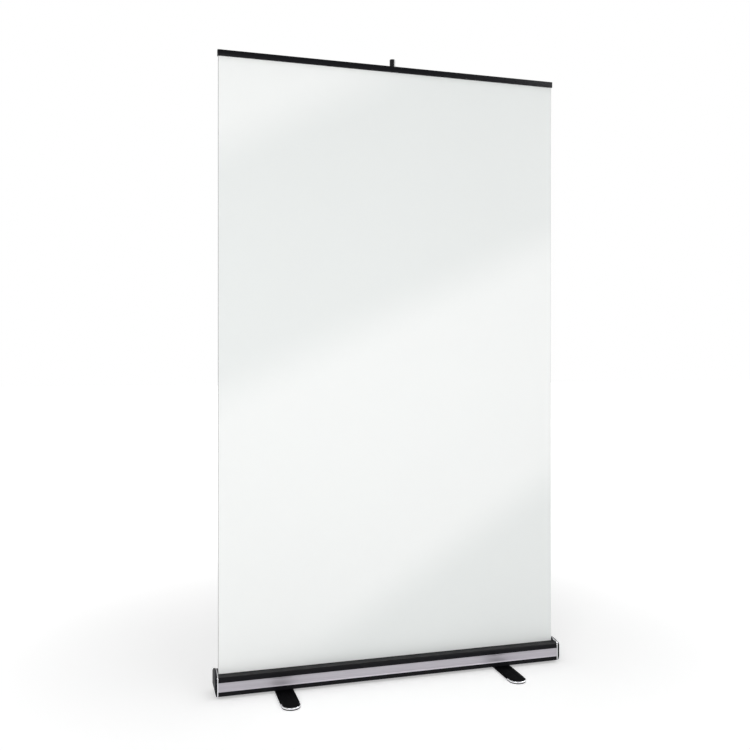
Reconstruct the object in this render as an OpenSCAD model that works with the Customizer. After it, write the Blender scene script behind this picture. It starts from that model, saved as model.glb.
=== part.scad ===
// Roll-up banner stand: a spring-roller cassette on two swivel feet, a
// three-stage telescopic pole and a snap rail that holds the film up.
// Millimetres. Origin: middle of the footprint on the floor.
// +X along the cassette, -Y towards the viewer, +Z up.

/* [Cassette] */
// Length of the cassette extrusion between its end plates
housing_l = 1198; // [900:2:1500]
// Depth of the cassette from front to back
housing_d = 90; // [88:1:104]
// Height of the cassette extrusion
housing_h = 60; // [58:1:70]
// Wall of the cassette extrusion
wall = 2; // [1.6:0.1:2.4]
// Radius of the shoulder along the front top edge
shoulder_r = 5; // [3:0.5:8]
// Height of the bright trim strip let into the front
strip_h = 29.5; // [20:0.5:36]
// Thickness of each chromed end plate
plate_t = 3; // [3:0.5:6]
// How far each domed end cover stands out from its plate
dome_t = 8.5; // [6:0.5:10]
// Height of the end plates above the floor at the top of their arch
plate_top = 80; // [78:1:90]

/* [Pole and rail] */
// Height of the rounded post top above the floor, pole fully raised
pole_top = 2119; // [2085:1:2185]
// Outer radius of the lowest pole tube; each further tube is 2 mm less
tube_r = 12; // [11.5:0.5:13]
// Wall of every pole tube
tube_wall = 1; // [0.8:0.1:1.2]
// Radius of the post that stands above the rail
post_r = 9.5; // [9:0.5:10]
// Height of the snap rail
rail_h = 19.5; // [18.5:0.5:22]

/* [Feet] */
// Length of each swivel foot from tip to tip
foot_l = 390; // [300:2:400]
// Width of each foot; its tips are half rounds
foot_w = 60; // [50:1:64]
// Thickness of the foot bar
foot_t = 5; // [5:0.5:8]
// Distance of each foot pivot from the middle of the cassette
foot_x = 386; // [250:1:392]
// Height of the rubber soles under the feet
pad_h = 3; // [1.5:0.5:4]

/* [Hidden] */
$fn = 64;

// finishes
black = [0.09, 0.09, 0.10];
plastic = [0.13, 0.13, 0.14];
rubber = [0.05, 0.05, 0.05];
chrome = [0.80, 0.81, 0.83];
silver = [0.69, 0.68, 0.71];
steel = [0.62, 0.63, 0.65];
nylon = [0.90, 0.90, 0.88];
white = [0.94, 0.95, 0.95];

// cassette
hy = housing_d / 2;
hz0 = pad_h + foot_t + 0.5;          // underside of the extrusion
hz1 = hz0 + housing_h;               // top of the extrusion
strip_z0 = hz0 + (housing_h - strip_h) / 2 - 1.3;
port_y = hy - wall - 3.2;            // screw ports in the four corners
port_z = [hz0 + wall + 3.2, hz1 - wall - 3.2];
x_end = housing_l / 2;               // inner face of an end plate
x_out = x_end + plate_t;             // outer face of an end plate
plate_y = hy + 1.5;
plate_z0 = hz0 - 2.5;
arch_r = 120;
corner_r = 12;
crown_y = 600;                       // crown radii of the end covers
crown_z = 115;

// roller and film
film_t = 0.4;
roll_r = 14;                         // outside of the turns left on the tube
core_r = 13.5;
core_ri = 12.3;
roller_y = -hy + 22;
roller_z = hz0 + housing_h / 2;
film_y = roller_y + roll_r + 0.5;
film_w = housing_l - 6;
roller_l = housing_l - 12;
slot_y0 = film_y - 4;                // slot in the top of the cassette
slot_y1 = film_y + 4;

// pole
pole_y = film_y + 18.5;
stroke = (pole_top - 349) / 3;       // travel of each of the two stages
mid_r = tube_r - 2;
up_r = tube_r - 4;
low_bot = hz1 + 4.5;
low_top = stroke + 170;
mid_bot = low_top - 60;
mid_top = mid_bot + stroke + 110;
up_bot = mid_top - 40;
up_top = pole_top - 61;
plug_r = 9;                          // spigot of the pole in its socket
top_r = 30;                          // crown on top of the post
fit = 0.05;                          // running fit, radial

// rail
rail_l = housing_l - 2;
rail_z1 = pole_top - 31.5;
rail_z0 = rail_z1 - rail_h;
cap_t = 2;
hinge_z = rail_z1 - 3;
hinge_y = film_y + 1.2;
bead_r = 1.75;
back_y0 = film_y + film_t / 2;       // front face of the rail back
back_y1 = back_y0 + 2;

// ---- helpers -----------------------------------------------------------

// a profile drawn in (Y, Z), pulled out along X about the middle
module along_x(l) {
  rotate([90, 0, 90]) linear_extrude(height = l, center = true) children();
}

// the same profile from x0 to x1
module profile_x(x0, x1) {
  translate([x0, 0, 0]) rotate([90, 0, 90])
    linear_extrude(height = x1 - x0) children();
}

module rod_x(r, x0, x1, y, z) {
  translate([x0, y, z]) rotate([0, 90, 0]) cylinder(r = r, h = x1 - x0);
}

module box(x0, x1, y0, y1, z0, z1) {
  translate([x0, y0, z0]) cube([x1 - x0, y1 - y0, z1 - z0]);
}

// a disc or ring about the pole axis
module pole_ring(ro, ri, z0, z1) {
  translate([0, pole_y, z0]) difference() {
    cylinder(r = ro, h = z1 - z0);
    if (ri > 0) translate([0, 0, -1]) cylinder(r = ri, h = z1 - z0 + 2);
  }
}

// ---- cassette ----------------------------------------------------------

// outline of the extrusion, drawn smaller by t all round
module housing_outline(t) {
  r = shoulder_r - t;
  translate([-hy + t + r, hz0 + t]) square([housing_d - 2 * t - r, housing_h - 2 * t]);
  translate([-hy + t, hz0 + t]) square([housing_d - 2 * t, housing_h - 2 * t - r]);
  translate([-hy + t + r, hz1 - t - r]) circle(r = r);
}

module housing() {
  color(black) difference() {
    along_x(housing_l) difference() {
      union() {
        difference() {
          housing_outline(0);
          housing_outline(wall);
        }
        // wall thickened behind the trim strip
        translate([-hy + wall - 0.2, strip_z0 - 3]) square([0.8, strip_h + 6]);
        for (s = [-1, 1], z = port_z) translate([s * port_y, z]) circle(r = 3.8);
      }
      for (s = [-1, 1], z = port_z) translate([s * port_y, z]) circle(r = 1.9);
      translate([-hy - 1, strip_z0]) square([1.7, strip_h]);
      translate([slot_y0, hz1 - wall - 4]) square([slot_y1 - slot_y0, wall + 8]);
    }
    for (s = [-1, 1]) {
      translate([s * foot_x, 0, hz0 - 1]) cylinder(r = 4, h = wall + 2);
      translate([s * 17, pole_y + 2.5, hz1 - wall - 1]) cylinder(r = 2, h = wall + 2);
    }
    translate([0, pole_y, hz1 - wall - 1]) cylinder(r = tube_r, h = wall + 2);
  }
}

module trim_strip() {
  color(silver) along_x(housing_l)
    translate([-hy - 0.3, strip_z0]) square([1, strip_h]);
}

// clip-on edge liner; s = -1 for the front edge, 1 for the rear edge
module slot_liner(s) {
  y_edge = s < 0 ? slot_y0 : slot_y1;
  color(plastic) along_x(housing_l - 1) {
    translate([min(y_edge, y_edge - 1.5 * s), hz1 - wall - 1.5]) square([1.5, wall + 2.3]);
    translate([min(y_edge - 0.5 * s, y_edge + s), hz1]) square([1.5, 0.8]);
    translate([min(y_edge - 0.5 * s, y_edge + s), hz1 - wall - 1.5]) square([1.5, 1.5]);
  }
}

// silhouette of the end plates: straight foot, arched top, rounded corners
module plate_outline(t) {
  zc = plate_top - arch_r + sqrt(pow(arch_r, 2) - pow(plate_y - corner_r, 2)) - corner_r;
  intersection() {
    translate([-plate_y + t, plate_z0 + t]) square([2 * (plate_y - t), plate_top]);
    translate([0, plate_top - arch_r]) circle(r = arch_r - t, $fn = 240);
    union() {
      translate([-plate_y + corner_r, 0]) square([2 * (plate_y - corner_r), plate_top + 1]);
      translate([-plate_y, plate_z0 + 8]) square([2 * plate_y, zc - plate_z0 - 8]);
      for (s = [-1, 1]) {
        translate([s * (plate_y - corner_r), zc]) circle(r = corner_r - t);
        translate([s * (plate_y - 8), plate_z0 + 8]) circle(r = 8 - t);
      }
      translate([-plate_y + 8, plate_z0]) square([2 * (plate_y - 8), 20]);
    }
  }
}

// pegs of the end covers sit in these holes
peg_at = [[-24, hz0 + 6], [30, hz0 + 6], [-6, hz1 + 3]];

module end_plate(side) {
  color(chrome) difference() {
    profile_x(side < 0 ? -x_out : x_end, side < 0 ? -x_end : x_out)
      difference() {
        plate_outline(0);
        for (p = peg_at) translate(p) circle(r = 2.5);
        for (s = [-1, 1], z = port_z) translate([s * port_y, z]) circle(r = 1.9);
        if (side < 0) translate([roller_y, roller_z]) circle(r = 7);
        else translate([roller_y - 3.5, roller_z - 3.5]) square([7, 7]);
      }
    // countersinks
    for (s = [-1, 1], z = port_z)
      translate([side * x_out, s * port_y, z]) rotate([0, -90 * side, 0])
        translate([0, 0, -0.01]) cylinder(r1 = 4, r2 = 1.89, h = 2.1);
  }
}

module end_plate_screws() {
  color(steel) for (side = [-1, 1], s = [-1, 1], z = port_z)
    translate([side * x_out, s * port_y, z]) rotate([0, -90 * side, 0]) {
      translate([0, 0, 0.1]) cylinder(r1 = 3.85, r2 = 1.9, h = 1.95);
      translate([0, 0, 1.9]) cylinder(r = 1.9, h = plate_t + 12);
    }
}

module end_cover(side) {
  color(black) {
    intersection() {
      profile_x(side < 0 ? -x_out - dome_t : x_out, side < 0 ? -x_out : x_out + dome_t)
        plate_outline(0.8);
      // crowned strongly up and down, a little front to back
      translate([side * (x_out + dome_t - crown_y), 0, -1])
        cylinder(r = crown_y, h = 200, $fn = 1200);
      translate([side * (x_out + dome_t - crown_z), -100, (plate_z0 + plate_top) / 2])
        rotate([-90, 0, 0]) cylinder(r = crown_z, h = 200, $fn = 540);
    }
    for (p = peg_at) rod_x(2.5, side < 0 ? -x_out - 1 : x_end + 0.5,
                           side < 0 ? -x_end - 0.5 : x_out + 1, p[0], p[1]);
  }
}

// ---- spring roller -----------------------------------------------------

module axle_bush() {
  color(nylon) difference() {
    union() {
      rod_x(7, -x_out, -x_end, roller_y, roller_z);
      rod_x(9, -x_end, -x_end + 1.2, roller_y, roller_z);
    }
    rod_x(4 + fit, -x_out - 1, -x_end + 2, roller_y, roller_z);
  }
}

module roller_tube() {
  color(silver) difference() {
    rod_x(core_r, -roller_l / 2, roller_l / 2, roller_y, roller_z);
    rod_x(core_ri, -roller_l / 2 - 1, roller_l / 2 + 1, roller_y, roller_z);
  }
}

module roller_plug_left() {
  color(nylon) {
    rod_x(core_ri, -roller_l / 2, -roller_l / 2 + 22, roller_y, roller_z);
    rod_x(6.5, -roller_l / 2 - 3.5, -roller_l / 2, roller_y, roller_z);
    rod_x(4, -x_out + 0.4, -roller_l / 2 - 3, roller_y, roller_z);
  }
}

module roller_plug_right() {
  color(nylon) difference() {
    rod_x(core_ri, roller_l / 2 - 22, roller_l / 2, roller_y, roller_z);
    rod_x(5 + fit, roller_l / 2 - 23, roller_l / 2 + 1, roller_y, roller_z);
  }
}

module film_wraps() {
  color(white) difference() {
    rod_x(roll_r, -film_w / 2, film_w / 2, roller_y, roller_z);
    rod_x(core_r, -film_w / 2 - 1, film_w / 2 + 1, roller_y, roller_z);
    // the turns stop at the ends of the tube
    for (s = [-1, 1]) translate([s * (film_w / 2 + roller_l / 2) / 2, roller_y, roller_z])
      cube([film_w / 2 - roller_l / 2, 3 * roll_r, 3 * roll_r], center = true);
  }
}

spring_x0 = x_end - 190;
spring_x1 = x_end - 36;

module spindle() {
  color(steel) {
    rod_x(5, spring_x0 - 20, x_end, roller_y, roller_z);
    box(x_end, x_out, roller_y - 3.5, roller_y + 3.5, roller_z - 3.5, roller_z + 3.5);
    difference() {
      rod_x(8, x_end - 3, x_end, roller_y, roller_z);
      rod_x(4, x_end - 4, x_end - 2.5, roller_y, roller_z);
    }
  }
}

// round wire wound about the X axis
module coil(r, wire_r, x0, x1, turns, sides = 5, seg = 12) {
  n = turns * seg;
  pts = [for (i = [0 : n], k = [0 : sides - 1])
    let (a = 360 * i / seg, b = 360 * k / sides, rr = r + wire_r * cos(b))
    [x0 + (x1 - x0) * i / n + wire_r * sin(b), rr * cos(a), rr * sin(a)]];
  tube_faces = [for (i = [0 : n - 1], k = [0 : sides - 1])
    let (p = i * sides + k, q = i * sides + (k + 1) % sides)
    each [[p, q, q + sides], [p, q + sides, p + sides]]];
  ends = [[for (k = [sides - 1 : -1 : 0]) k], [for (k = [0 : sides - 1]) n * sides + k]];
  polyhedron(points = pts, faces = concat(tube_faces, ends));
}

module torsion_spring() {
  color(steel) translate([0, roller_y, roller_z])
    coil(8.6, 0.9, spring_x0, spring_x1, 28);
}

module spring_anchor() {
  color(nylon) difference() {
    union() {
      rod_x(11.6, spring_x0 - 16, spring_x0 - 1.4, roller_y, roller_z);
      rod_x(7.4, spring_x0 - 2, spring_x0 + 10, roller_y, roller_z);
    }
    rod_x(5, spring_x0 - 17, spring_x0 + 11, roller_y, roller_z);
  }
}

module banner_film() {
  color(white) box(-film_w / 2, film_w / 2, film_y - film_t / 2, film_y + film_t / 2,
                   roller_z, rail_z1 - 7.5);
}

// ---- pole socket and feet ----------------------------------------------

module pole_socket() {
  color(plastic) difference() {
    union() {
      pole_ring(tube_r, 0, hz0 + 15.5, hz1);
      box(-22, 22, film_y + 5.5, pole_y + 18, hz1, hz1 + 3);
    }
    translate([0, pole_y, hz0 + 17.5]) cylinder(r = plug_r + fit, h = housing_h);
    for (s = [-1, 1]) translate([s * 17, pole_y + 2.5, hz1 - 1]) cylinder(r = 2, h = 5);
  }
}

module socket_screws() {
  color(steel) for (s = [-1, 1]) translate([s * 17, pole_y + 2.5, hz1]) {
    translate([0, 0, 3]) difference() {
      cylinder(r = 3.8, h = 2);
      translate([0, 0, 0.8]) cylinder(r = 1.5, h = 2, $fn = 6);
    }
    translate([0, 0, -8]) cylinder(r = 2, h = 11.5);
  }
}

module nut_plates() {
  color(steel) for (s = [-1, 1]) difference() {
    box(s * foot_x - 22, s * foot_x + 22, -15, 15, hz0 + wall, hz0 + wall + 3);
    translate([s * foot_x, 0, hz0]) cylinder(r = 4, h = wall + 5);
  }
}

module foot_nuts() {
  color(steel) for (s = [-1, 1]) translate([s * foot_x, 0, hz0 + wall + 3]) difference() {
    cylinder(r = 7.5, h = 5, $fn = 6);
    translate([0, 0, -1]) cylinder(r = 3.95, h = 8);
  }
}

module foot_bolts() {
  color(steel) for (s = [-1, 1]) translate([s * foot_x, 0, pad_h]) {
    translate([0, 0, 0.3]) difference() {
      cylinder(r = 7, h = 2.6);
      translate([0, 0, -1]) cylinder(r = 2.9, h = 2.6, $fn = 6);
    }
    translate([0, 0, 2.8]) cylinder(r = 3.95, h = hz0 + wall + 9 - pad_h - 2.8);
  }
}

module foot_washers() {
  color(nylon) for (s = [-1, 1]) translate([s * foot_x, 0, hz0 - 0.4]) difference() {
    cylinder(r = 14, h = 0.4);
    translate([0, 0, -1]) cylinder(r = 4, h = 3);
  }
}

tip_t = 2.5;      // thickness of the bright band round each tip
tip_len = 14;     // how far the band runs back along the sides

module foot_outline(t) {
  square([foot_w - 2 * t, foot_l - foot_w], center = true);
  for (s = [-1, 1]) translate([0, s * (foot_l - foot_w) / 2]) circle(r = foot_w / 2 - t);
}

module tip_zone() {
  for (s = [-1, 1]) translate([-foot_w, s > 0 ? (foot_l - foot_w) / 2 - tip_len : -foot_l])
    square([2 * foot_w, foot_l - (foot_l - foot_w) / 2 + tip_len]);
}

module foot_bar(side) {
  color(black) translate([side * foot_x, 0, pad_h]) difference() {
    linear_extrude(height = foot_t) difference() {
      foot_outline(0);
      intersection() {
        tip_zone();
        difference() {
          square([2 * foot_w, foot_l + 10], center = true);
          foot_outline(tip_t);
        }
      }
    }
    translate([0, 0, -1]) cylinder(r = 4, h = foot_t + 2);
    translate([0, 0, -1]) cylinder(r = 7.3, h = 4);
  }
}

module foot_tips(side) {
  color(chrome) translate([side * foot_x, 0, pad_h]) linear_extrude(height = foot_t)
    intersection() {
      tip_zone();
      difference() {
        foot_outline(0);
        foot_outline(tip_t);
      }
    }
}

// half-round soles under both tips
module foot_pads(side) {
  color(rubber) translate([side * foot_x, 0, 0]) linear_extrude(height = pad_h)
    intersection() {
      foot_outline(0.4);
      tip_zone();
    }
}

// ---- telescopic pole ---------------------------------------------------

module pole_tube(r, z0, z1) {
  color(black) pole_ring(r, r - tube_wall, z0, z1);
}

module pole_foot_plug() {
  color(plastic) {
    pole_ring(plug_r, 0, hz0 + 18, low_bot);
    pole_ring(tube_r, 0, low_bot - 1.5, low_bot);
    pole_ring(tube_r - tube_wall, 0, low_bot - 0.5, low_bot + 27);
  }
}

// plug in the foot of a sliding tube of radius r
module slide_plug(r, z) {
  color(nylon) {
    pole_ring(r - tube_wall, 0, z - 0.5, z + 25);
    pole_ring(r + 2 - tube_wall - fit, 0, z - 8, z);
  }
}

// twist-lock collar on a tube of radius r that ends at height z
module collar_sleeve(r, z) {
  color(plastic) {
    pole_ring(r + 3, r, z - 18, z);
    pole_ring(r + 3, r - tube_wall, z, z + 6);
    pole_ring(r + 1.2, r - tube_wall, z + 5, z + 28);
  }
}

module collet(r, z) {
  color(nylon) difference() {
    pole_ring(r - tube_wall, r - 1.9, z + 8, z + 28);
    for (a = [0 : 90 : 270]) translate([0, pole_y, z + 20]) rotate([0, 0, a])
      translate([r - 2.5, -0.6, -8]) cube([3, 1.2, 17]);
  }
}

module twist_ring(r, z) {
  color(plastic) {
    difference() {
      pole_ring(r + 3.5, r + 1.2 + fit, z + 6.3, z + 30.5);
      // grip flutes
      for (a = [0 : 30 : 330]) translate([0, pole_y, z + 9]) rotate([0, 0, a])
        translate([r + 4, 0, 0]) cylinder(r = 1.3, h = 18);
    }
    pole_ring(r + 2, r - 1.6, z + 28.3, z + 30.5);
  }
}

// post with a forward arm and an upright tooth that the rail hangs on
module pole_head() {
  color(plastic) {
    difference() {
      intersection() {
        pole_ring(post_r, 0, up_top, pole_top);
        // crowned top; the cube keeps the shank
        translate([0, pole_y, pole_top - top_r]) union() {
          sphere(r = top_r, $fn = 160);
          translate([-20, -20, -200]) cube([40, 40, 200]);
        }
      }
      // stop groove just above the rail
      pole_ring(post_r + 3, post_r - 0.4, rail_z1 + 0.5, rail_z1 + 1.5);
    }
    pole_ring(up_r - tube_wall, 0, up_top - 24, up_top + 1);
    box(-12, 12, film_y + 2.5, pole_y, up_top + 2, up_top + 12);
    box(-12, 12, film_y + 2.5, film_y + 5.6, up_top + 10, rail_z1 - 7.6);
  }
}

// ---- snap rail ---------------------------------------------------------

module rail_back() {
  color(black) along_x(rail_l - 2 * cap_t) difference() {
    union() {
      translate([back_y0, rail_z0 + 1.5]) square([back_y1 - back_y0, hinge_z - rail_z0 - 1.5 - 2.2]);
      translate([hinge_y, hinge_z]) circle(r = 3);
      // hook channel behind the back plate
      translate([back_y0 + 0.5, rail_z1 - 7.5]) square([6.8, 2]);
      translate([film_y + 6, rail_z1 - 15.5]) square([1.5, 10]);
    }
    translate([hinge_y, hinge_z]) circle(r = bead_r + fit);
    // mouth of the hinge socket: open from straight up round to the front
    translate([hinge_y, hinge_z]) polygon([[0, 0],
      for (a = [85 : 20 : 205]) 6 * [cos(a), sin(a)]]);
  }
}

module rail_end_caps() {
  color(plastic) for (s = [-1, 1])
    profile_x(s < 0 ? -rail_l / 2 : rail_l / 2 - cap_t, s < 0 ? -rail_l / 2 + cap_t : rail_l / 2)
      translate([film_y - 6, rail_z0]) square([13.5, rail_h]);
}

module rail_jaw() {
  color(black) along_x(rail_l - 2 * cap_t - 0.6) {
    translate([film_y - 6, rail_z0]) square([1.8, rail_h]);
    translate([film_y - 4.3, hinge_z - 0.6]) square([hinge_y - film_y + 4.3, 1.2]);
    translate([hinge_y, hinge_z]) circle(r = bead_r);
    translate([film_y - 4.3, rail_z0]) square([3.8, 1.8]);
    translate([film_y - 4.3, rail_z0 + 9]) square([2, 1.4]);
  }
}

module grip_strip() {
  color(rubber) along_x(rail_l - 2 * cap_t - 2)
    translate([film_y - 4.2, rail_z0 + 1.8]) square([3.8, 7.2]);
}

// ---- nodes -------------------------------------------------------------

housing();
trim_strip();
slot_liner(-1);  // slot_liner_front
slot_liner(1);  // slot_liner_rear
end_plate(-1);  // end_plate_left
end_plate(1);  // end_plate_right
end_cover(-1);  // end_cover_left
end_cover(1);  // end_cover_right
end_plate_screws();
axle_bush();
roller_tube();
roller_plug_left();
roller_plug_right();
film_wraps();
spindle();
torsion_spring();
spring_anchor();
banner_film();
pole_socket();
socket_screws();
nut_plates();
foot_nuts();
foot_bolts();
foot_washers();
foot_bar(-1);  // foot_bar_left
foot_tips(-1);  // foot_tips_left
foot_pads(-1);  // foot_pads_left
foot_bar(1);  // foot_bar_right
foot_tips(1);  // foot_tips_right
foot_pads(1);  // foot_pads_right
pole_foot_plug();
pole_tube(tube_r, low_bot, low_top);  // pole_tube_lower
collar_sleeve(tube_r, low_top);  // lower_collar_sleeve
collet(tube_r, low_top);  // lower_collet
twist_ring(tube_r, low_top);  // lower_twist_ring
slide_plug(mid_r, mid_bot);  // middle_plug
pole_tube(mid_r, mid_bot, mid_top);  // pole_tube_middle
collar_sleeve(mid_r, mid_top);  // upper_collar_sleeve
collet(mid_r, mid_top);  // upper_collet
twist_ring(mid_r, mid_top);  // upper_twist_ring
slide_plug(up_r, up_bot);  // upper_plug
pole_tube(up_r, up_bot, up_top);  // pole_tube_upper
pole_head();
rail_back();
rail_end_caps();
rail_jaw();
grip_strip();
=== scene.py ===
"""Roll-up banner stand: finishes, softened edges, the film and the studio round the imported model."""

import logging
import math
from dataclasses import dataclass
from enum import Enum
from typing import Callable, Sequence

import bmesh
import bpy
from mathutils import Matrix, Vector


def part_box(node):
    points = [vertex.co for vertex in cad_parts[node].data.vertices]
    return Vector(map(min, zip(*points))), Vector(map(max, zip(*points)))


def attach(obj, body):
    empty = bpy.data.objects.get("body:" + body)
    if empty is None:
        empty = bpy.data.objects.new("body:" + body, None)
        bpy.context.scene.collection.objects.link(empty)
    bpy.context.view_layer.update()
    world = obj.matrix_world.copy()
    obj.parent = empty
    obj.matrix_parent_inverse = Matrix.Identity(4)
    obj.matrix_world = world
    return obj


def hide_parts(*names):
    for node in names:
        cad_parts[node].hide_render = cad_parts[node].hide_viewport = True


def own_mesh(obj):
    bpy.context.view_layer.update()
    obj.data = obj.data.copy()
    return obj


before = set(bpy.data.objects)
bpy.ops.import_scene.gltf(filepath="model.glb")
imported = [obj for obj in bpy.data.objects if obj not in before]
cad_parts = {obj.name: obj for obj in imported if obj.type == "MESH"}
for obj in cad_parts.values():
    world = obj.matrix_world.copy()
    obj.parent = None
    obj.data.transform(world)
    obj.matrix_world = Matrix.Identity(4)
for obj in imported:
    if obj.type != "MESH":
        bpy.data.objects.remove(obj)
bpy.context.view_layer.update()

logging.basicConfig(level=logging.INFO, format="%(message)s")
log = logging.getLogger("banner_stand")

MM = 0.001
WHITE = (1.0, 1.0, 1.0, 1.0)
WELD = 2e-6                  # vertices closer than this are one, in metres
FLAT = math.radians(0.6)     # faces that meet at less than this are one
Colour = tuple[float, float, float]
Point = tuple[float, float, float]


class Grain(Enum):
    """Direction in which a metal was drawn or brushed, as the stretch of its streaks along X, Y and Z."""

    ALONG = (2.0, 900.0, 900.0)
    UPRIGHT = (700.0, 700.0, 2.5)
    ACROSS = (700.0, 2.0, 700.0)


class Body(Enum):
    """Bodies of the frame that new pieces ride on."""

    BASE = "base"
    FOOT_LEFT = "foot_left"
    FOOT_RIGHT = "foot_right"
    LOWER_RING = "lower_ring"
    MIDDLE = "mast_middle"
    UPPER_RING = "upper_ring"
    UPPER = "mast_upper"
    RAIL = "rail"
    JAW = "rail_jaw_body"


# ---------------------------------------------------------------- shader helpers


class Graph:
    """A node tree with short ways to add and join nodes."""

    def __init__(self, tree: bpy.types.NodeTree) -> None:
        """Keeps the tree that nodes are added to."""
        self.tree = tree

    def add(self, kind: str, inputs: dict | None = None, **settings: object) -> bpy.types.Node:
        """Adds one node.

        Args:
            kind: Blender's name of the node type.
            inputs: Socket name or index to a value, or to an output socket to link.
            settings: Properties of the node itself.

        Returns:
            The new node.
        """
        node = self.tree.nodes.new(kind)
        for key, value in settings.items():
            setattr(node, key, value)
        for key, value in (inputs or {}).items():
            if isinstance(value, bpy.types.NodeSocket):
                self.tree.links.new(value, node.inputs[key])
            else:
                node.inputs[key].default_value = value
        return node

    def math(self, operation: str, *values: object) -> bpy.types.NodeSocket:
        """Adds a Math node and returns its output."""
        node = self.add("ShaderNodeMath", dict(enumerate(values)), operation=operation)
        return node.outputs[0]

    def noise(self, place: bpy.types.NodeSocket, scale: object,
              detail: float = 4.0) -> bpy.types.NodeSocket:
        """Adds a noise texture at a place and returns its value output."""
        node = self.add("ShaderNodeTexNoise", {"Vector": place, "Scale": scale, "Detail": detail})
        return node.outputs["Fac"]

    def ramp(self, value: bpy.types.NodeSocket, low: float, high: float,
             out_low: float = 0.0, out_high: float = 1.0) -> bpy.types.NodeSocket:
        """Maps low..high to out_low..out_high with soft ends.

        Args:
            value: The socket to map.
            low: Input that gives out_low.
            high: Input that gives out_high.
            out_low: Output at and below low.
            out_high: Output at and above high.

        Returns:
            The mapped value.
        """
        node = self.add("ShaderNodeMapRange",
                        {"Value": value, "From Min": low, "From Max": high,
                         "To Min": out_low, "To Max": out_high},
                        interpolation_type="SMOOTHSTEP")
        return node.outputs["Result"]

    def mix(self, share: object, first: object, second: object) -> bpy.types.NodeSocket:
        """Mixes two colours and returns the result."""
        node = self.add("ShaderNodeMix", data_type="RGBA")
        for index, value in ((0, share), (6, first), (7, second)):
            if isinstance(value, bpy.types.NodeSocket):
                self.tree.links.new(value, node.inputs[index])
            elif isinstance(value, tuple):
                node.inputs[index].default_value = (*value[:3], 1.0)
            else:
                node.inputs[index].default_value = value
        return node.outputs[2]

    def object_place(self) -> bpy.types.NodeSocket:
        """Position in the piece's own frame, in metres."""
        return self.add("ShaderNodeTexCoord").outputs["Object"]


class Effect:
    """A shader node group that several finishes share, built once."""

    made: dict[str, bpy.types.ShaderNodeTree] = {}

    def __init__(self, name: str, inputs: dict[str, float], outputs: Sequence[str],
                 fill: Callable[[Graph, bpy.types.Node, bpy.types.Node], None]) -> None:
        """Remembers how the group is built.

        Args:
            name: Name of the group.
            inputs: Float inputs and their defaults.
            outputs: Names of the float outputs.
            fill: Adds the nodes between the group's input and output nodes.
        """
        self.name, self.inputs, self.outputs, self.fill = name, inputs, outputs, fill

    def group(self) -> bpy.types.ShaderNodeTree:
        """The group, made on first use."""
        if self.name not in self.made:
            tree = bpy.data.node_groups.new(self.name, "ShaderNodeTree")
            for name, value in self.inputs.items():
                socket = tree.interface.new_socket(name, in_out="INPUT", socket_type="NodeSocketFloat")
                socket.default_value = value
            for name in self.outputs:
                tree.interface.new_socket(name, in_out="OUTPUT", socket_type="NodeSocketFloat")
            graph = Graph(tree)
            self.fill(graph, graph.add("NodeGroupInput"), graph.add("NodeGroupOutput"))
            self.made[self.name] = tree
        return self.made[self.name]

    def place(self, graph: Graph, **values: float) -> bpy.types.Node:
        """Adds the group to a material.

        Args:
            graph: The material's graph.
            values: Values of the group's inputs, with _ for a space.

        Returns:
            The group node.
        """
        node = graph.add("ShaderNodeGroup", node_tree=self.group())
        for key, value in values.items():
            node.inputs[key.replace("_", " ")].default_value = value
        return node


def fill_streaks(graph: Graph, start: bpy.types.Node, end: bpy.types.Node) -> None:
    """Fine lines left by drawing or brushing, in two widths.

    Args:
        graph: The group's graph.
        start: Its input node.
        end: Its output node.
    """
    stretch = graph.add("ShaderNodeCombineXYZ", {"X": start.outputs["Stretch X"],
                                                 "Y": start.outputs["Stretch Y"],
                                                 "Z": start.outputs["Stretch Z"]}).outputs[0]
    place = graph.add("ShaderNodeVectorMath", {0: graph.object_place(), 1: stretch},
                      operation="MULTIPLY").outputs[0]
    fine = graph.noise(place, 1.0, 5.0)
    broad = graph.noise(place, 0.22, 3.0)
    lines = graph.math("ADD", graph.math("MULTIPLY", fine, 0.65), graph.math("MULTIPLY", broad, 0.35))
    graph.tree.links.new(graph.ramp(lines, 0.36, 0.64), end.inputs["Lines"])


def fill_grain(graph: Graph, start: bpy.types.Node, end: bpy.types.Node) -> None:
    """Small even grain, such as spark-eroded mould texture or powder coat.

    Args:
        graph: The group's graph.
        start: Its input node.
        end: Its output node.
    """
    place = graph.object_place()
    cells = graph.add("ShaderNodeTexVoronoi", {"Vector": place, "Scale": start.outputs["Scale"]},
                      feature="SMOOTH_F1").outputs["Distance"]
    speck = graph.noise(place, graph.math("MULTIPLY", start.outputs["Scale"], 0.6), 3.0)
    grain = graph.math("ADD", graph.math("MULTIPLY", cells, 0.6), graph.math("MULTIPLY", speck, 0.5))
    graph.tree.links.new(grain, end.inputs["Grain"])


def fill_handling(graph: Graph, start: bpy.types.Node, end: bpy.types.Node) -> None:
    """Broad smudges and a few fine scuffs from packing and handling.

    Args:
        graph: The group's graph.
        start: Its input node.
        end: Its output node.
    """
    place = graph.object_place()
    smudge = graph.ramp(graph.noise(place, start.outputs["Scale"], 3.0), 0.42, 0.68)
    scuff_place = graph.add("ShaderNodeMapping", {"Vector": place, "Scale": (60.0, 900.0, 260.0),
                                                  "Rotation": (0.3, 0.2, 0.5)}).outputs[0]
    scuff = graph.ramp(graph.noise(scuff_place, 1.0, 2.0), 0.70, 0.78)
    graph.tree.links.new(smudge, end.inputs["Smudge"])
    graph.tree.links.new(scuff, end.inputs["Scuff"])


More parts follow.
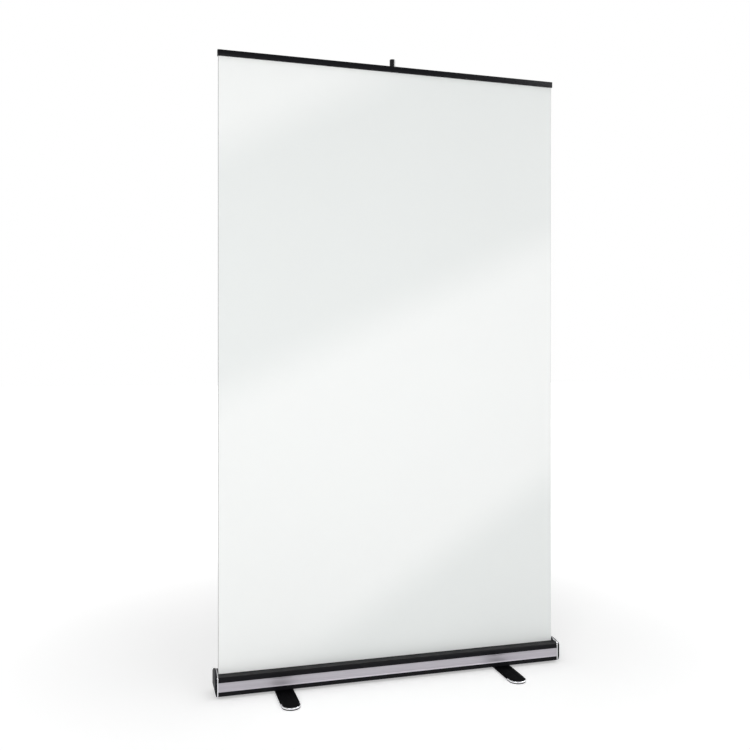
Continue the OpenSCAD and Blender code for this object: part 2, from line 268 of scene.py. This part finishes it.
def fill_dust_and_sheen(graph: Graph, start: bpy.types.Node, end: bpy.types.Node) -> None:
    """Thin dust on faces that look up, which also serves as a painted highlight on those faces.

    Args:
        graph: The group's graph.
        start: Its input node.
        end: Its output node.
    """
    normal = graph.add("ShaderNodeNewGeometry").outputs["Normal"]
    up = graph.ramp(graph.add("ShaderNodeSeparateXYZ", {0: normal}).outputs["Z"], 0.55, 0.98)
    patch = graph.ramp(graph.noise(graph.object_place(), 34.0, 6.0), 0.30, 0.75)
    # up-facing faces get dust that also paints a highlight on them
    amount = graph.math("MULTIPLY", graph.math("MULTIPLY", up, patch), start.outputs["Amount"])
    graph.tree.links.new(amount, end.inputs["Dust"])


STREAKS = Effect("Drawn lines", {"Stretch X": 1.0, "Stretch Y": 1.0, "Stretch Z": 1.0}, ["Lines"],
                 fill_streaks)
GRAIN = Effect("Surface grain", {"Scale": 900.0}, ["Grain"], fill_grain)
HANDLING = Effect("Handling marks", {"Scale": 9.0}, ["Smudge", "Scuff"], fill_handling)
# dust on up-facing faces, partly a painted highlight
DUST_AND_SHEEN = Effect("Settled dust and sheen", {"Amount": 0.2}, ["Dust"], fill_dust_and_sheen)

# colour of the dust, which also paints a highlight on up-facing faces
DUST_AND_SHEEN_COLOUR: Colour = (0.30, 0.29, 0.28)


# ---------------------------------------------------------------- finishes


@dataclass(frozen=True)
class Finish:
    """What every finish has: a name, a base colour and a roughness.

    Attributes:
        name: Name of the material.
        colour: Base colour, linear.
        roughness: Roughness of the clean surface.
    """

    name: str
    colour: Colour
    roughness: float

    def material(self) -> bpy.types.Material:
        """The Blender material, made on first use."""
        known = bpy.data.materials.get(self.name)
        if known is not None:
            return known
        material = bpy.data.materials.new(self.name)
        material.use_nodes = True
        material.diffuse_color = (*self.colour, 1.0)
        tree = material.node_tree
        tree.nodes.clear()
        graph = Graph(tree)
        shader = graph.add("ShaderNodeBsdfPrincipled")
        shader.inputs["Base Color"].default_value = (*self.colour, 1.0)
        shader.inputs["Roughness"].default_value = self.roughness
        output = graph.add("ShaderNodeOutputMaterial")
        tree.links.new(shader.outputs[0], output.inputs["Surface"])
        self.detail(graph, shader)
        return material

    def detail(self, graph: Graph, shader: bpy.types.Node) -> None:
        """Adds the finish's own nodes; the plain finish has none."""

    def bump(self, graph: Graph, shader: bpy.types.Node, height: bpy.types.NodeSocket,
             depth: float, strength: float = 1.0) -> None:
        """Joins a height to the shader's normal.

        Args:
            graph: The material's graph.
            shader: Its Principled shader.
            height: The height, from 0 to 1.
            depth: How deep 1 is, in metres.
            strength: Strength of the bump.
        """
        node = graph.add("ShaderNodeBump", {"Height": height, "Distance": depth, "Strength": strength})
        graph.tree.links.new(node.outputs[0], shader.inputs["Normal"])

    def rough(self, graph: Graph, shader: bpy.types.Node, mask: bpy.types.NodeSocket, more: float) -> None:
        """Lets the roughness rise by `more` where the mask is 1."""
        value = graph.math("ADD", graph.math("MULTIPLY", mask, more), self.roughness)
        graph.tree.links.new(value, shader.inputs["Roughness"])


@dataclass(frozen=True)
class DrawnMetal(Finish):
    """Extruded, drawn or brushed metal, bare or anodised.

    Attributes:
        grain: Direction of its lines.
        metallic: 1 for bare metal, lower where an anodised layer covers it.
        contrast: How far the lines lighten the colour.
        line_depth: Depth of the lines in metres.
        dust_and_sheen: Amount of dust on faces that look up, which also paints a highlight on them.
        specular: Specular level of the layer.
    """

    grain: Grain = Grain.ALONG
    metallic: float = 1.0
    contrast: float = 0.12
    line_depth: float = 4e-6
    dust_and_sheen: float = 0.0
    specular: float = 0.5

    def detail(self, graph: Graph, shader: bpy.types.Node) -> None:
        """Adds lines, smudges, and dust that also paints a highlight on up-facing faces.

        Args:
            graph: The material's graph.
            shader: Its Principled shader.
        """
        shader.inputs["Metallic"].default_value = self.metallic
        shader.inputs["Specular IOR Level"].default_value = self.specular
        x, y, z = self.grain.value
        lines = STREAKS.place(graph, Stretch_X=x, Stretch_Y=y, Stretch_Z=z).outputs["Lines"]
        marks = HANDLING.place(graph, Scale=7.0)
        lighter = tuple(min(1.0, c * (1 + self.contrast)) for c in self.colour)
        darker = tuple(c * (1 - self.contrast) for c in self.colour)
        colour = graph.mix(lines, darker, lighter)
        colour = graph.mix(graph.math("MULTIPLY", marks.outputs["Smudge"], 0.10), colour,
                           tuple(c * 0.7 for c in self.colour))
        # dust on up-facing faces, also a painted highlight on the tops
        if self.dust_and_sheen:
            dust_and_sheen = DUST_AND_SHEEN.place(graph, Amount=self.dust_and_sheen).outputs["Dust"]
            colour = graph.mix(dust_and_sheen, colour, DUST_AND_SHEEN_COLOUR)
        graph.tree.links.new(colour, shader.inputs["Base Color"])
        mask = graph.math("ADD", graph.math("MULTIPLY", lines, 0.5),
                          graph.math("MULTIPLY", marks.outputs["Smudge"], 0.5))
        self.rough(graph, shader, mask, 0.10)
        self.bump(graph, shader, lines, self.line_depth)


@dataclass(frozen=True)
class PlatedMetal(Finish):
    """Bright plating over steel, with faint smudges and fine wipe marks."""

    def detail(self, graph: Graph, shader: bpy.types.Node) -> None:
        """Adds smudges and wipe marks.

        Args:
            graph: The material's graph.
            shader: Its Principled shader.
        """
        shader.inputs["Metallic"].default_value = 1.0
        marks = HANDLING.place(graph, Scale=16.0)
        colour = graph.mix(graph.math("MULTIPLY", marks.outputs["Smudge"], 0.25),
                           self.colour, tuple(c * 0.82 for c in self.colour))
        graph.tree.links.new(colour, shader.inputs["Base Color"])
        mask = graph.math("ADD", graph.math("MULTIPLY", marks.outputs["Smudge"], 0.6),
                          graph.math("MULTIPLY", marks.outputs["Scuff"], 0.4))
        self.rough(graph, shader, mask, 0.12)
        self.bump(graph, shader, marks.outputs["Scuff"], 3e-6, 0.6)


@dataclass(frozen=True)
class Moulded(Finish):
    """Injection-moulded plastic or rubber with its mould grain.

    Attributes:
        grain_scale: Grains per metre of the mould texture.
        grain_depth: Depth of the grain in metres.
        specular: Specular level.
    """

    grain_scale: float = 1400.0
    grain_depth: float = 2e-5
    specular: float = 0.5

    def detail(self, graph: Graph, shader: bpy.types.Node) -> None:
        """Adds grain and scuffs.

        Args:
            graph: The material's graph.
            shader: Its Principled shader.
        """
        shader.inputs["Specular IOR Level"].default_value = self.specular
        grain = GRAIN.place(graph, Scale=self.grain_scale).outputs["Grain"]
        marks = HANDLING.place(graph, Scale=12.0)
        lighter = tuple(min(1.0, c * 1.8 + 0.002) for c in self.colour)
        colour = graph.mix(graph.math("MULTIPLY", marks.outputs["Scuff"], 0.5), self.colour, lighter)
        colour = graph.mix(graph.math("MULTIPLY", grain, 0.12), colour, lighter)
        graph.tree.links.new(colour, shader.inputs["Base Color"])
        self.rough(graph, shader, marks.outputs["Smudge"], 0.12)
        self.bump(graph, shader, grain, self.grain_depth)


@dataclass(frozen=True)
class SheenBand:
    """A soft diagonal edge between two tones of a painted reflection.

    Attributes:
        x: X of a point on the edge, in metres.
        z: Z of that point.
        slope: Rise per metre of X.
        blur: Height over which one tone becomes the other.
    """

    x: float
    z: float
    slope: float
    blur: float

    def above(self, graph: Graph, px: bpy.types.NodeSocket,
              pz: bpy.types.NodeSocket) -> bpy.types.NodeSocket:
        """How far a point is past the edge: 0 below it and 1 above it.

        Args:
            graph: The material's graph.
            px: X of the point.
            pz: Z of the point.

        Returns:
            The soft mask.
        """
        rise = graph.math("SUBTRACT", pz, graph.math("MULTIPLY", px, self.slope))
        level = self.z - self.slope * self.x
        return graph.ramp(rise, level - self.blur / 2, level + self.blur / 2)


@dataclass(frozen=True)
class SheenBandedFilm(Finish):
    """Coated display film with a painted reflection: two pale tones that meet in soft diagonal bands.

    Attributes:
        second: The darker band of the painted reflection.
        edge_shade_colour: Colour of the painted shade along the side edges.
        back: Colour of the plain light-blocking coat on the back.
        half_width: Half the film's width in metres.
        left_edge_shade: Width of the painted shade along the left edge.
        right_edge_shade: The same on the right.
        sheen_bands: Edges of the painted reflection bands, from the top down.
    """

    second: Colour = (0.828, 0.852, 0.842)
    edge_shade_colour: Colour = (0.42, 0.42, 0.42)
    back: Colour = (0.66, 0.67, 0.67)
    half_width: float = 0.596
    left_edge_shade: float = 0.0024
    right_edge_shade: float = 0.0007
    sheen_bands: tuple[SheenBand, ...] = ()

    def detail(self, graph: Graph, shader: bpy.types.Node) -> None:
        """Adds the painted reflection bands, the painted shade along the side edges, the paper-fine tooth
        and the slight waviness.

        Args:
            graph: The material's graph.
            shader: Its Principled shader.
        """
        place = graph.object_place()
        axes = graph.add("ShaderNodeSeparateXYZ", {0: place}).outputs
        top, middle, low = (band.above(graph, axes["X"], axes["Z"]) for band in self.sheen_bands)
        # the darker band of the painted reflection lies between the top and middle edges, and again below
        # the low one
        between = graph.math("MULTIPLY", graph.math("SUBTRACT", 1.0, top), middle)
        sheen_dark = graph.math("ADD", between, graph.math("SUBTRACT", 1.0, low))
        colour = graph.mix(sheen_dark, self.colour, self.second)
        tooth = graph.noise(place, 2400.0, 2.0)
        colour = graph.mix(graph.math("MULTIPLY", tooth, 0.03), colour, (0.70, 0.70, 0.70))
        # painted shade along the side edges, wider on the left
        for outward, width in ((graph.math("MULTIPLY", axes["X"], -1.0), self.left_edge_shade),
                               (axes["X"], self.right_edge_shade)):
            side = graph.ramp(outward, self.half_width - width, self.half_width - width * 0.6)
            colour = graph.mix(side, colour, self.edge_shade_colour)
        normal = graph.add("ShaderNodeNewGeometry").outputs["Normal"]
        behind = graph.ramp(graph.add("ShaderNodeSeparateXYZ", {0: normal}).outputs["Y"], -0.1, 0.1)
        coat = graph.mix(graph.math("MULTIPLY", tooth, 0.10), self.back, tuple(c * 0.9 for c in self.back))
        colour = graph.mix(behind, colour, coat)
        graph.tree.links.new(colour, shader.inputs["Base Color"])
        shader.inputs["Specular IOR Level"].default_value = 0.3
        self.rough(graph, shader, graph.noise(place, 30.0, 4.0), 0.10)
        wave = graph.noise(graph.add("ShaderNodeMapping", {"Vector": place,
                                                           "Scale": (1.6, 1.0, 5.0)}).outputs[0], 1.0, 1.0)
        self.bump(graph, shader, graph.math("ADD", graph.math("MULTIPLY", tooth, 0.004), wave), 4e-4, 0.35)


HALF_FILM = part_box("banner_film")[1].x

# its dust also paints a highlight on the housing's top faces
ANODISED = DrawnMetal("Black anodised extrusion", (0.005, 0.005, 0.0065), 0.38, Grain.ALONG,
                      metallic=0.0, contrast=0.25, dust_and_sheen=0.035, specular=0.10)
POLE_BLACK = DrawnMetal("Black anodised tube", (0.013, 0.013, 0.015), 0.30, Grain.UPRIGHT,
                        metallic=0.0, contrast=0.25, specular=0.25)
TRIM = DrawnMetal("Brushed trim", (0.45, 0.43, 0.47), 0.36, Grain.ALONG, metallic=0.55, contrast=0.06)
MILL = DrawnMetal("Mill finish tube", (0.62, 0.62, 0.63), 0.34, Grain.ALONG)
ZINC = DrawnMetal("Zinc-plated steel", (0.58, 0.58, 0.55), 0.34, Grain.ACROSS, contrast=0.10)
SPRING = DrawnMetal("Oiled spring wire", (0.20, 0.20, 0.21), 0.30, Grain.ALONG)
CHROME = PlatedMetal("Chrome plate", (0.80, 0.80, 0.82), 0.09)
PLASTIC = Moulded("Black moulded plastic", (0.014, 0.014, 0.015), 0.46, grain_depth=2.5e-5, specular=0.4)
COVER = Moulded("Semi-gloss cover", (0.004, 0.005, 0.008), 0.34, 1600.0, 6e-6, specular=0.05)
POST = Moulded("Gloss post", (0.003, 0.003, 0.004), 0.18, 1600.0, 4e-6, specular=0.6)
NYLON = Moulded("Natural nylon", (0.78, 0.77, 0.73), 0.42, 900.0, 6e-6)
# near-black rubber, darkened to also paint the contact shadow under the foot tips
RUBBER_AND_SHADE = Moulded("Soft rubber", (0.005, 0.005, 0.005), 0.80, 1100.0, 4e-5, specular=0.12)
POWDER = Moulded("Black powder coat", (0.0014, 0.0014, 0.0018), 0.46, 520.0, 1.6e-5, specular=0.02)
# white film with a painted reflection in soft diagonal bands
FILM = SheenBandedFilm("Film with painted sheen bands", (0.925, 0.940, 0.930), 0.42, half_width=HALF_FILM, sheen_bands=(
    SheenBand(-0.314, 1.911, 0.50, 0.23),
    SheenBand(0.017, 1.252, 0.46, 0.24),
    SheenBand(0.152, 0.386, 0.63, 0.24)))


# ---------------------------------------------------------------- mesh helpers


def even_normals(mesh: bmesh.types.BMesh) -> list[tuple[float, float, float]]:
    """Corner normals in which wide faces outweigh the thin ones beside them.

    Args:
        mesh: A bmesh whose sharp edges are already marked.

    Returns:
        One normal for each face corner, in the order of the faces.
    """
    normals = []
    for face in mesh.faces:
        for corner in face.loops:
            fan = [face]
            for near in fan:
                for edge in near.edges:
                    if edge.smooth and corner.vert in edge.verts:
                        fan.extend(other for other in edge.link_faces if other not in fan)
            total = sum((near.normal * near.calc_area() for near in fan), Vector())
            normals.append(tuple(total.normalized()))
    return normals


def new_piece(name: str, mesh: bmesh.types.BMesh, finish: Finish, body: Body,
              replaced: Sequence[str] = (), smooth_below: float = 35.0,
              even: bool = False) -> bpy.types.Object:
    """Turns a bmesh into a finished piece that rides on a body.

    Args:
        name: Name of the piece.
        mesh: Its mesh, in metres in the frame; it is freed.
        finish: Its finish.
        body: The body it rides on.
        replaced: CAD nodes that it stands for.
        smooth_below: Edges flatter than this angle, in degrees, are shaded smooth.
        even: Whether wide faces outweigh their thin neighbours in the shading.

    Returns:
        The piece.
    """
    data = bpy.data.meshes.new(name)
    limit = math.radians(smooth_below)
    for face in mesh.faces:
        face.smooth = True
    for edge in mesh.edges:
        edge.smooth = len(edge.link_faces) == 2 and edge.calc_face_angle(0.0) < limit
    normals = even_normals(mesh) if even else []
    mesh.to_mesh(data)
    mesh.free()
    if normals:
        data.normals_split_custom_set(normals)
    piece = bpy.data.objects.new(name, data)
    bpy.context.scene.collection.objects.link(piece)
    data.materials.append(finish.material())
    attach(piece, body.value)
    if replaced:
        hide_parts(*replaced)
    log.info("%s: %d faces, rides on %s", name, len(data.polygons), body.value)
    return piece


def dress(finish: Finish, *nodes: str) -> None:
    """Gives CAD nodes whose shape stays their finish.

    Args:
        finish: The finish.
        nodes: Names of the nodes.
    """
    for name in nodes:
        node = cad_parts[name]
        node.data.materials.clear()
        node.data.materials.append(finish.material())
        log.info("%s: %s", name, finish.name)


def merged_copy(node: str) -> bmesh.types.BMesh:
    """A CAD node's mesh with its loose triangles joined and its flat faces made whole.

    Args:
        node: Name of the node.

    Returns:
        The new mesh.
    """
    mesh = bmesh.new()
    mesh.from_mesh(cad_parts[node].data)
    bmesh.ops.remove_doubles(mesh, verts=mesh.verts[:], dist=WELD)
    bmesh.ops.dissolve_limit(mesh, angle_limit=FLAT, verts=mesh.verts[:], edges=mesh.edges[:])
    return mesh


def soften(node: str, name: str, finish: Finish, body: Body, radius: float,
           segments: int = 2, sharper_than: float = 40.0, even: bool = False) -> bpy.types.Object:
    """Stands for a CAD node with the same shape and slightly rounded edges.

    Args:
        node: The CAD node.
        name: Name of the new piece.
        finish: Its finish.
        body: The body it rides on.
        radius: Radius of the rounded edges, in metres.
        segments: Steps across each rounded edge.
        sharper_than: Only edges that turn by more than this are rounded, in degrees.
        even: Whether wide faces outweigh their thin neighbours in the shading.

    Returns:
        The piece.
    """
    mesh = merged_copy(node)
    limit = math.radians(sharper_than)
    sharp = [e for e in mesh.edges if len(e.link_faces) == 2 and e.calc_face_angle(0.0) > limit
             and e.calc_length() > radius * 0.5]
    bmesh.ops.bevel(mesh, geom=sharp, offset=radius, offset_type="OFFSET", segments=segments,
                    profile=0.5, affect="EDGES", clamp_overlap=True, material=-1)
    return new_piece(name, mesh, finish, body, [node], even=even)


# ---------------------------------------------------------------- sub-assemblies


@dataclass
class Cassette:
    """The housing with its strip, liners, end plates, covers, socket and pivots.

    Attributes:
        edge: Radius of the softened edges of machined parts.
        cover_edge: Radius round the rim of the moulded covers.
        rib: Height of the rolled rib along each edge of the trim strip.
        proud: How far the ribs stand in front of the strip's face.
        crown: How far the middle of the strip's face bulges.
        crown_steps: Steps up the bulge.
    """

    edge: float = 0.4 * MM
    cover_edge: float = 1.6 * MM
    rib: float = 1.1 * MM
    proud: float = 0.35 * MM
    crown: float = 0.15 * MM
    crown_steps: int = 6

    def rib_face(self, front: float, share: float) -> float:
        """Y of the rolled rib's face.

        Args:
            front: Y of its foremost line.
            share: Share of the rib's height, from its edge.

        Returns:
            The place along Y, in metres.
        """
        return front + self.proud * (1 - math.sin(math.pi * share))

    def trim_strip(self) -> bpy.types.Object:
        """The silver strip: a slightly crowned face between two thin rolled ribs.

        Returns:
            The strip.
        """
        low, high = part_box("trim_strip")
        foot = low.y + self.proud
        rounding = [0.25, 0.55, 1.0]
        steps = range(1, self.crown_steps)
        rise = high.z - low.z - 2 * self.rib
        mesh = bmesh.new()
        outline = [(high.y, low.z), (foot, low.z)]
        outline += [(self.rib_face(low.y, t), low.z + self.rib * t) for t in rounding]
        outline += [(low.y + self.proud * 0.9 - self.crown * math.sin(math.pi * i / self.crown_steps),
                     low.z + self.rib + rise * i / self.crown_steps) for i in steps]
        outline += [(self.rib_face(low.y, t), high.z - self.rib * t) for t in reversed(rounding)]
        outline += [(foot, high.z), (high.y, high.z)]
        ring = [mesh.verts.new((low.x, y, z)) for y, z in outline]
        face = mesh.faces.new(ring)
        moved = bmesh.ops.extrude_face_region(mesh, geom=[face])["geom"]
        bmesh.ops.translate(mesh, vec=(high.x - low.x, 0, 0),
                            verts=[g for g in moved if isinstance(g, bmesh.types.BMVert)])
        bmesh.ops.recalc_face_normals(mesh, faces=mesh.faces[:])
        return new_piece("front_trim", mesh, TRIM, Body.BASE, ["trim_strip"], 60.0)

    def build(self) -> None:
        """Makes the pieces and dresses the nodes that stay."""
        dress(ANODISED, "housing")
        dress(PLASTIC, "slot_liner_front", "slot_liner_rear")
        self.trim_strip()
        for side in ("left", "right"):
            soften(f"end_plate_{side}", f"end_plate_{side}_polished", CHROME, Body.BASE, self.edge)
            soften(f"end_cover_{side}", f"end_cover_{side}_moulded", COVER, Body.BASE, self.cover_edge, 4)
        soften("pole_socket", "pole_socket_moulded", PLASTIC, Body.BASE, self.edge)
        soften("foot_nuts", "foot_nuts_chamfered", ZINC, Body.BASE, self.edge)
        soften("nut_plates", "nut_plates_deburred", ZINC, Body.BASE, self.edge)
        dress(ZINC, "end_plate_screws", "socket_screws", "foot_bolts")
        dress(NYLON, "foot_washers", "axle_bush")


@dataclass
class SpringRoller:
    """The roller inside the cassette with its plugs, spindle and spring.

    Attributes:
        wire: Radius of the spring wire.
        turns: Turns of the spring.
        steps: Steps round one turn.
    """

    wire: float = 0.9 * MM
    turns: int = 28
    steps: int = 24

    def coil(self) -> bpy.types.Object:
        """The torsion spring as round wire wound evenly about the spindle.

        Returns:
            The spring.
        """
        low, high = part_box("torsion_spring")
        axis_y, axis_z = (low.y + high.y) / 2, (low.z + high.z) / 2
        radius = (high.y - low.y) / 2 - self.wire
        mesh = bmesh.new()
        start = Vector((low.x + self.wire, axis_y + radius, axis_z))
        section = bmesh.ops.create_circle(mesh, segments=10, radius=self.wire)["verts"]
        bmesh.ops.translate(mesh, vec=start, verts=section)
        count = self.turns * self.steps
        advance = (high.x - low.x - 2 * self.wire) / count
        bmesh.ops.spin(mesh, geom=section + mesh.edges[:], cent=(start.x, axis_y, axis_z), axis=(1, 0, 0),
                       dvec=(advance, 0, 0), angle=math.tau * self.turns, steps=count, use_merge=False)
        bmesh.ops.holes_fill(mesh, edges=[e for e in mesh.edges if e.is_boundary], sides=0)
        bmesh.ops.recalc_face_normals(mesh, faces=mesh.faces[:])
        return new_piece("torsion_spring_wound", mesh, SPRING, Body.BASE, ["torsion_spring"], 60.0)

    def build(self) -> None:
        """Makes the spring and dresses the rest."""
        dress(MILL, "roller_tube")
        dress(NYLON, "roller_plug_left", "roller_plug_right", "spring_anchor")
        dress(ZINC, "spindle")
        dress(FILM, "film_wraps")
        self.coil()


@dataclass
class Banner:
    """The film between the roller and the rail.

    Attributes:
        columns: Divisions across the film.
        rows: Divisions up the film.
        curl: How far the side edges lean back at mid height.
        held_share: Share of the height near each end where the grip still flattens them.
    """

    columns: int = 48
    rows: int = 72
    curl: float = 1.8 * MM
    held_share: float = 0.12

    def lean(self, across: float, up: float) -> float:
        """How far back the film lies at a point.

        Args:
            across: -1 at the left edge, 1 at the right edge.
            up: 0 at the roller, 1 at the rail.

        Returns:
            The distance along Y, in metres.
        """
        free = min(1.0, up / self.held_share) * min(1.0, (1 - up) / self.held_share)
        return self.curl * abs(across) ** 8 * free * free * (3 - 2 * free)

    def build(self) -> bpy.types.Object:
        """Returns:
            The film.
        """
        low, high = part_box("banner_film")
        width, length, thick = high.x - low.x, high.z - low.z, high.y - low.y
        mesh = bmesh.new()
        bmesh.ops.create_grid(mesh, x_segments=self.columns, y_segments=self.rows, size=0.5)
        for vert in mesh.verts:
            across, up = vert.co.x * 2, vert.co.y + 0.5
            vert.co = Vector((low.x + (across + 1) / 2 * width,
                              low.y + self.lean(across, up), low.z + up * length))
        bmesh.ops.recalc_face_normals(mesh, faces=mesh.faces[:])
        front = mesh.faces[:]
        if front[0].normal.y > 0:
            bmesh.ops.reverse_faces(mesh, faces=front)
        back = bmesh.ops.extrude_face_region(mesh, geom=front, use_keep_orig=True)["geom"]
        bmesh.ops.translate(mesh, vec=(0, thick, 0),
                            verts=[g for g in back if isinstance(g, bmesh.types.BMVert)])
        bmesh.ops.recalc_face_normals(mesh, faces=mesh.faces[:])
        film = new_piece("film_sheet", mesh, FILM, Body.RAIL, ["banner_film"])
        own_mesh(film)
        return film


@dataclass
class SwivelFoot:
    """One flat foot with its bright tips and rubber soles, whose near-black also stands in for the contact
    shadow under the tips.

    Attributes:
        side: "left" or "right".
        body: The body it rides on.
        edge: Radius of its softened edges.
        crown: Radius of the rounded profile of its bright tips.
    """

    side: str
    body: Body
    edge: float = 0.8 * MM
    crown: float = 1.2 * MM

    def build(self) -> None:
        """Makes the bar, tips and soles."""
        soften(f"foot_bar_{self.side}", f"foot_bar_{self.side}_coated", POWDER, self.body, self.edge, 3)
        soften(f"foot_tips_{self.side}", f"foot_tips_{self.side}_polished", CHROME, self.body,
               self.crown, 4)
        # the soles' near-black is partly real rubber, partly painted contact shadow under the tips
        soften(f"foot_pads_{self.side}", f"foot_pads_{self.side}_moulded", RUBBER_AND_SHADE, self.body, self.edge, 3)


@dataclass
class Pole:
    """The three tubes with their plugs, collars and the post on top.

    Attributes:
        edge: Radius of the softened edges of moulded parts.
    """

    edge: float = 0.5 * MM

    def build(self) -> None:
        """Makes the moulded parts and dresses the tubes."""
        dress(POLE_BLACK, "pole_tube_lower", "pole_tube_middle", "pole_tube_upper")
        dress(NYLON, "middle_plug", "upper_plug", "lower_collet", "upper_collet")
        dress(PLASTIC, "pole_foot_plug")
        for level, carrier, ring in (("lower", Body.BASE, Body.LOWER_RING),
                                     ("upper", Body.MIDDLE, Body.UPPER_RING)):
            soften(f"{level}_collar_sleeve", f"{level}_collar_sleeve_moulded", PLASTIC, carrier, self.edge)
            soften(f"{level}_twist_ring", f"{level}_twist_ring_moulded", PLASTIC, ring, self.edge)
        soften("pole_head", "pole_head_moulded", POST, Body.UPPER, self.edge, 3, 30.0, even=True)


@dataclass
class SnapRail:
    """The two-part rail that clamps the film.

    Attributes:
        edge: Radius of the softened edges.
        back_edge: The same on the rear half, whose hook channel is thin.
    """

    edge: float = 0.45 * MM
    back_edge: float = 0.2 * MM

    def build(self) -> None:
        """Makes the rail's parts."""
        soften("rail_back", "rail_back_anodised", ANODISED, Body.RAIL, self.back_edge)
        soften("rail_end_caps", "rail_end_caps_moulded", PLASTIC, Body.RAIL, self.edge)
        soften("rail_jaw", "rail_jaw_anodised", ANODISED, Body.JAW, self.edge)
        dress(RUBBER_AND_SHADE, "grip_strip")


# ---------------------------------------------------------------- studio


@dataclass
class SoftLight:
    """A square soft light that looks at a point.

    Attributes:
        name: Its name.
        place: Where it stands.
        aim: The point it looks at.
        size: Length of its side.
        watts: Its power.
        sheen_only: True for a light that only shows in reflections.
    """

    name: str
    place: Point
    aim: Point
    size: float
    watts: float
    sheen_only: bool = False

    def build(self) -> None:
        """Adds the light."""
        lamp = bpy.data.lights.new(self.name, "AREA")
        lamp.size, lamp.energy = self.size, self.watts
        holder = bpy.data.objects.new(self.name, lamp)
        holder.location = self.place
        holder.visible_diffuse = not self.sheen_only
        holder.rotation_euler = (Vector(self.aim) - Vector(self.place)).to_track_quat("-Z", "Y").to_euler()
        bpy.context.scene.collection.objects.link(holder)


@dataclass
class Studio:
    """Pale floor, white surround, soft lights and the camera.

    Attributes:
        floor_size: Side of the floor.
        surround: Strength of the light that comes from all round.
        camera_at: Where the camera stands.
        heading: Its turn from +Y towards +X, in degrees.
        lens: Focal length on a 36 mm sensor.
        shift: Vertical shift that frames the stand.
    """

    floor_size: float = 60.0
    surround: float = 0.50
    camera_at: Point = (-0.8711, -2.7892, 1.0936)
    heading: float = 16.115
    lens: float = 40.80
    shift: float = -0.0239

    def floor(self) -> None:
        """A pale floor just under the pads, with a painted glow that is weaker near the stand and stronger
        far off.
        """
        mesh = bmesh.new()
        bmesh.ops.create_grid(mesh, x_segments=1, y_segments=1, size=self.floor_size / 2)
        data = bpy.data.meshes.new("studio_floor")
        mesh.to_mesh(data)
        mesh.free()
        floor = bpy.data.objects.new("studio_floor", data)
        bpy.context.scene.collection.objects.link(floor)
        material = bpy.data.materials.new("Studio floor")
        material.use_nodes = True
        shader = material.node_tree.nodes["Principled BSDF"]
        shader.inputs["Base Color"].default_value = (0.80, 0.80, 0.80, 1.0)
        shader.inputs["Roughness"].default_value = 0.9
        shader.inputs["Specular IOR Level"].default_value = 0.1
        shader.inputs["Emission Color"].default_value = WHITE
        graph = Graph(material.node_tree)
        reach = graph.add("ShaderNodeVectorMath", {0: graph.object_place()},
                          operation="LENGTH").outputs["Value"]
        # painted glow, from weak near the stand to strong far off
        glow = graph.ramp(reach, 0.5, 3.2, 0.35, 0.82)
        # painted glow, weaker near the stand so the floor there is darker: the extra white is seen
        # directly and in reflections, but lights nothing
        matt = graph.add("ShaderNodeLightPath").outputs["Is Diffuse Ray"]
        painted_glow = graph.math("MULTIPLY", glow, graph.math("SUBTRACT", 1.0, matt))
        graph.tree.links.new(painted_glow, shader.inputs["Emission Strength"])
        data.materials.append(material)

    def surroundings(self) -> None:
        """White behind the stand, and softer light with a darker front for reflections."""
        world = bpy.data.worlds.new("Studio")
        world.use_nodes = True
        world.node_tree.nodes.clear()
        graph = Graph(world.node_tree)
        direction = graph.add("ShaderNodeTexCoord").outputs["Generated"]
        axes = graph.add("ShaderNodeSeparateXYZ", {0: direction}).outputs
        overhead = graph.ramp(axes["Z"], -0.1, 0.9, 0.55, 1.25)
        front = graph.ramp(axes["Y"], -1.0, 0.3, 0.55, 1.0)
        glow = graph.math("MULTIPLY", graph.math("MULTIPLY", overhead, front), self.surround)
        lit = graph.add("ShaderNodeBackground", {"Color": WHITE, "Strength": glow})
        plain = graph.add("ShaderNodeBackground", {"Color": WHITE, "Strength": 1.0})
        seen = graph.add("ShaderNodeLightPath").outputs["Is Camera Ray"]
        both = graph.add("ShaderNodeMixShader", {0: seen, 1: lit.outputs[0], 2: plain.outputs[0]})
        graph.add("ShaderNodeOutputWorld", {"Surface": both.outputs[0]})
        bpy.context.scene.world = world

    def camera(self) -> None:
        """A level camera, shifted to frame the stand."""
        data = bpy.data.cameras.new("Camera")
        data.lens, data.sensor_width, data.shift_y = self.lens, 36.0, self.shift
        data.clip_end = 200.0
        camera = bpy.data.objects.new("Camera", data)
        camera.location = self.camera_at
        camera.rotation_euler = (math.radians(90), 0, -math.radians(self.heading))
        bpy.context.scene.collection.objects.link(camera)
        bpy.context.scene.camera = camera

    def build(self) -> None:
        """Sets up the whole studio."""
        self.floor()
        self.surroundings()
        for light in (SoftLight("Key", (-2.4, -3.8, 1.6), (0, 0, 0.9), 1.8, 64.0),
                      SoftLight("Overhead", (0.2, -0.6, 4.6), (0, 0, 0), 3.0, 26.0),
                      SoftLight("Low front", (1.5, -4.2, 0.7), (0.1, 0, 0.4), 2.6, 58.0),
                      SoftLight("Fill", (3.4, -2.6, 2.0), (0, 0, 1.0), 2.0, 6.0),
                      SoftLight("Rim", (2.6, -0.2, 2.3), (0, 0, 1.8), 2.2, 120.0, sheen_only=True)):
            light.build()
        self.camera()
        bpy.context.scene.view_settings.view_transform = "Standard"


def main() -> None:
    """Builds the stand part by part, then the studio."""
    Cassette().build()
    SpringRoller().build()
    Banner().build()
    SwivelFoot("left", Body.FOOT_LEFT).build()
    SwivelFoot("right", Body.FOOT_RIGHT).build()
    Pole().build()
    SnapRail().build()
    Studio().build()


if __name__ == "__main__":
    main()
